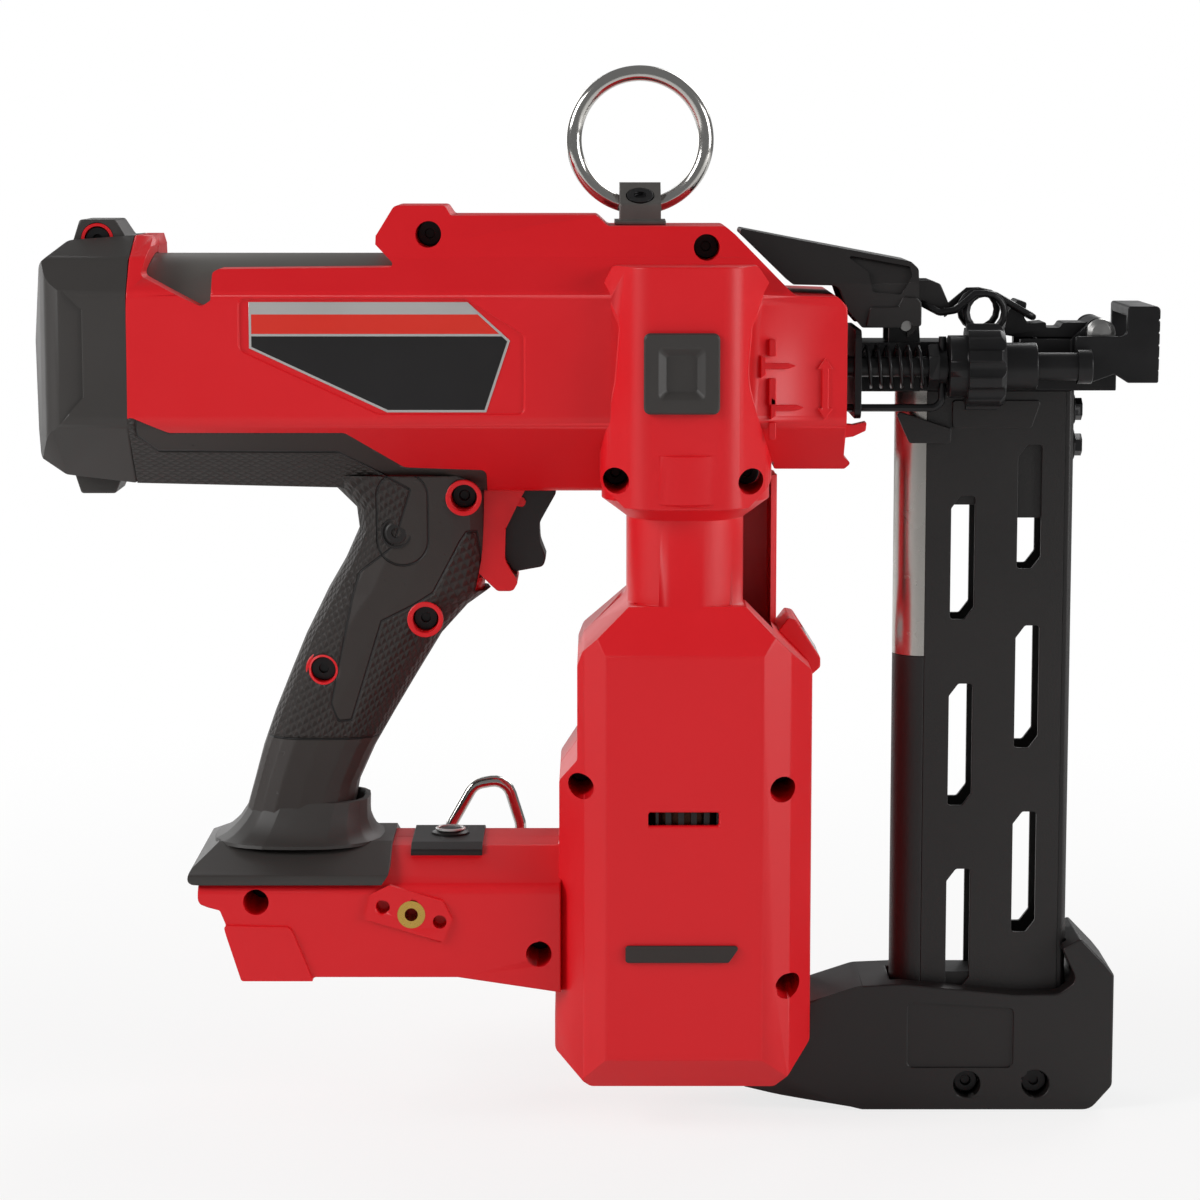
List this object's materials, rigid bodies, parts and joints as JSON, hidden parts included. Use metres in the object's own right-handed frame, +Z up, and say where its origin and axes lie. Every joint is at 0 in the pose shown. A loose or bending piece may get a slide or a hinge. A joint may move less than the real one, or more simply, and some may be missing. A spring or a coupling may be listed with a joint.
{
  "type": "cordless fencing stapler",
  "caption": "Cordless fencing stapler with barrel, pistol grip, upright motor tower, slotted stick magazine, sprung work contact and carrying ring.",
  "frame": {"origin": "on the floor under the middle of the tool's bounding box", "axes": "+X towards the nose, +Y to the tool's left side, +Z up"},
  "size_m": [0.3563, 0.1025, 0.3376],
  "materials": {
    "red_casing": "satin red glass-filled nylon",
    "soft_grip": "matt charcoal elastomer",
    "black_plastic": "matt black nylon",
    "powder_coat": "fine-textured charcoal powder coat",
    "black_oxide": "black oxide on steel",
    "bare_steel": "machined steel",
    "nickel": "bright nickel",
    "aluminium": "grey anodised aluminium",
    "brass": "turned brass",
    "copper": "enamelled copper on dark laminations",
    "clear_lens": "clear polycarbonate",
    "seal_rubber": "black rubber"
  },
  "bodies": {
    "tool": {"right_housing": "red_casing", "left_housing": "red_casing", "right_grip": "soft_grip", "left_grip": "soft_grip", "grip_boot": "soft_grip", "barrel_saddle": "soft_grip", "rear_cap": "soft_grip", "housing_screws": "black_oxide", "air_sleeve": "aluminium", "vent_screen": "black_plastic", "drive_cylinder": "bare_steel", "bumper": "seal_rubber", "nose_collar": "powder_coat", "nose_casting": "powder_coat", "square_pad": "soft_grip", "bar_pad": "soft_grip", "light_housing": "red_casing", "light_lens": "clear_lens", "motor_stator": "copper", "ball_bearings": "bare_steel", "gear_case": "aluminium", "electronics_module": "black_plastic", "trigger_switch": "black_plastic", "battery_terminals": "black_plastic", "button_plate": "black_plastic", "mount_inserts": "brass", "wire_hook": "nickel", "hook_screw": "bare_steel", "ring_bracket": "powder_coat", "ring_screw": "black_oxide", "magazine_cover": "powder_coat", "magazine_rail": "powder_coat", "crown_guide": "bare_steel", "magazine_base": "black_plastic", "magazine_screws": "black_oxide", "pusher_spring": "bare_steel", "hinge_pins": "bare_steel"},
    "driver": {"piston": "aluminium", "piston_seal": "seal_rubber", "driver_blade": "bare_steel"},
    "lifter": {"lifter_wheel": "bare_steel", "lifter_rollers": "bare_steel", "planet_carrier": "bare_steel"},
    "planet_1": {"planet_gear_1": "bare_steel"},
    "planet_2": {"planet_gear_2": "bare_steel"},
    "planet_3": {"planet_gear_3": "bare_steel"},
    "rotor": {"motor_rotor": "bare_steel", "motor_fan": "black_plastic"},
    "trigger": {"trigger": "black_plastic"},
    "button": {"mode_button": "black_plastic"},
    "lever": {"latch_lever": "black_plastic"},
    "bail": {"latch_wire": "bare_steel"},
    "door": {"nose_door": "powder_coat"},
    "contact": {"contact_yoke": "bare_steel", "contact_spring": "bare_steel", "rod_nut": "bare_steel"},
    "wheel": {"depth_wheel": "black_plastic"},
    "tip": {"contact_tip": "powder_coat"},
    "ring": {"carry_ring": "nickel"},
    "pusher": {"magazine_pusher": "black_plastic"}
  },
  "joints": [
    {"name": "lifter_turn", "type": "hinge", "parent": "tool", "child": "lifter", "pos_m": [0.027, -0.025, 0.243], "axis": [0, 0, 1], "range_deg": [0, 270]},
    {"name": "planet_1_spin", "type": "hinge", "parent": "lifter", "child": "planet_1", "pos_m": [0.0354, -0.025, 0.175], "axis": [0, 0, 1], "range_deg": [-812, 2]},
    {"name": "planet_2_spin", "type": "hinge", "parent": "lifter", "child": "planet_2", "pos_m": [0.0228, -0.01773, 0.175], "axis": [0, 0, 1], "range_deg": [-812, 2]},
    {"name": "planet_3_spin", "type": "hinge", "parent": "lifter", "child": "planet_3", "pos_m": [0.0228, -0.03227, 0.175], "axis": [0, 0, 1], "range_deg": [-812, 2]},
    {"name": "rotor_spin", "type": "hinge", "parent": "tool", "child": "rotor", "pos_m": [0.027, -0.025, 0.1], "axis": [0, 0, 1], "range_deg": [-2, 1082]},
    {"name": "driver_slide", "type": "slide", "parent": "tool", "child": "driver", "axis": [1, 0, 0], "range_m": [-0.0756, 0.0001]},
    {"name": "trigger_pull", "type": "hinge", "parent": "tool", "child": "trigger", "pos_m": [-0.0255, 0, 0.1985], "axis": [0, 1, 0], "range_deg": [0, 12], "stiffness_Nm_per_rad": 0.4},
    {"name": "button_press", "type": "slide", "parent": "tool", "child": "button", "axis": [0, 0, -1], "range_m": [0, 0.001], "stiffness_N_per_m": 300},
    {"name": "lever_lift", "type": "hinge", "parent": "tool", "child": "lever", "pos_m": [0.097, 0, 0.2555], "axis": [0, 1, 0], "range_deg": [0, 29]},
    {"name": "bail_swing", "type": "hinge", "parent": "lever", "child": "bail", "pos_m": [0.1032, 0, 0.262], "axis": [0, 1, 0], "range_deg": [-88, 1]},
    {"name": "door_lift", "type": "hinge", "parent": "tool", "child": "door", "pos_m": [0.1592, 0, 0.253], "axis": [0, 1, 0], "range_deg": [-1, 36]},
    {"name": "contact_push", "type": "slide", "parent": "tool", "child": "contact", "axis": [-1, 0, 0], "range_m": [0, 0.012], "stiffness_N_per_m": 400, "springref_m": -0.004, "deforming": ["contact_spring"]},
    {"name": "depth_turn", "type": "hinge", "parent": "contact", "child": "wheel", "pos_m": [0.115, -0.024, 0.243], "axis": [1, 0, 0], "range_deg": [-720, 720]},
    {"name": "tip_travel", "type": "slide", "parent": "contact", "child": "tip", "axis": [1, 0, 0], "range_m": [-0.0036, 0.0036]},
    {"name": "ring_swing", "type": "hinge", "parent": "tool", "child": "ring", "pos_m": [0.0128, 0.0052, 0.2927], "axis": [1, 0, 0], "range_deg": [-80, 80]},
    {"name": "pusher_travel", "type": "slide", "parent": "tool", "child": "pusher", "axis": [0, 0, -1], "range_m": [0, 0.14], "stiffness_N_per_m": 25, "springref_m": -0.05}
  ],
  "couplings": [
    {"joint": "planet_1_spin", "follows": "lifter_turn", "ratio": -3},
    {"joint": "planet_2_spin", "follows": "lifter_turn", "ratio": -3},
    {"joint": "planet_3_spin", "follows": "lifter_turn", "ratio": -3},
    {"joint": "rotor_spin", "follows": "lifter_turn", "ratio": 4},
    {"joint": "driver_slide", "follows": "lifter_turn", "m_per_rad": -0.016},
    {"joint": "bail_swing", "follows": "lever_lift", "ratio": -3},
    {"joint": "door_lift", "follows": "lever_lift", "ratio": 1.2},
    {"joint": "tip_travel", "follows": "depth_turn", "m_per_rad": 0.00027852}
  ]
}
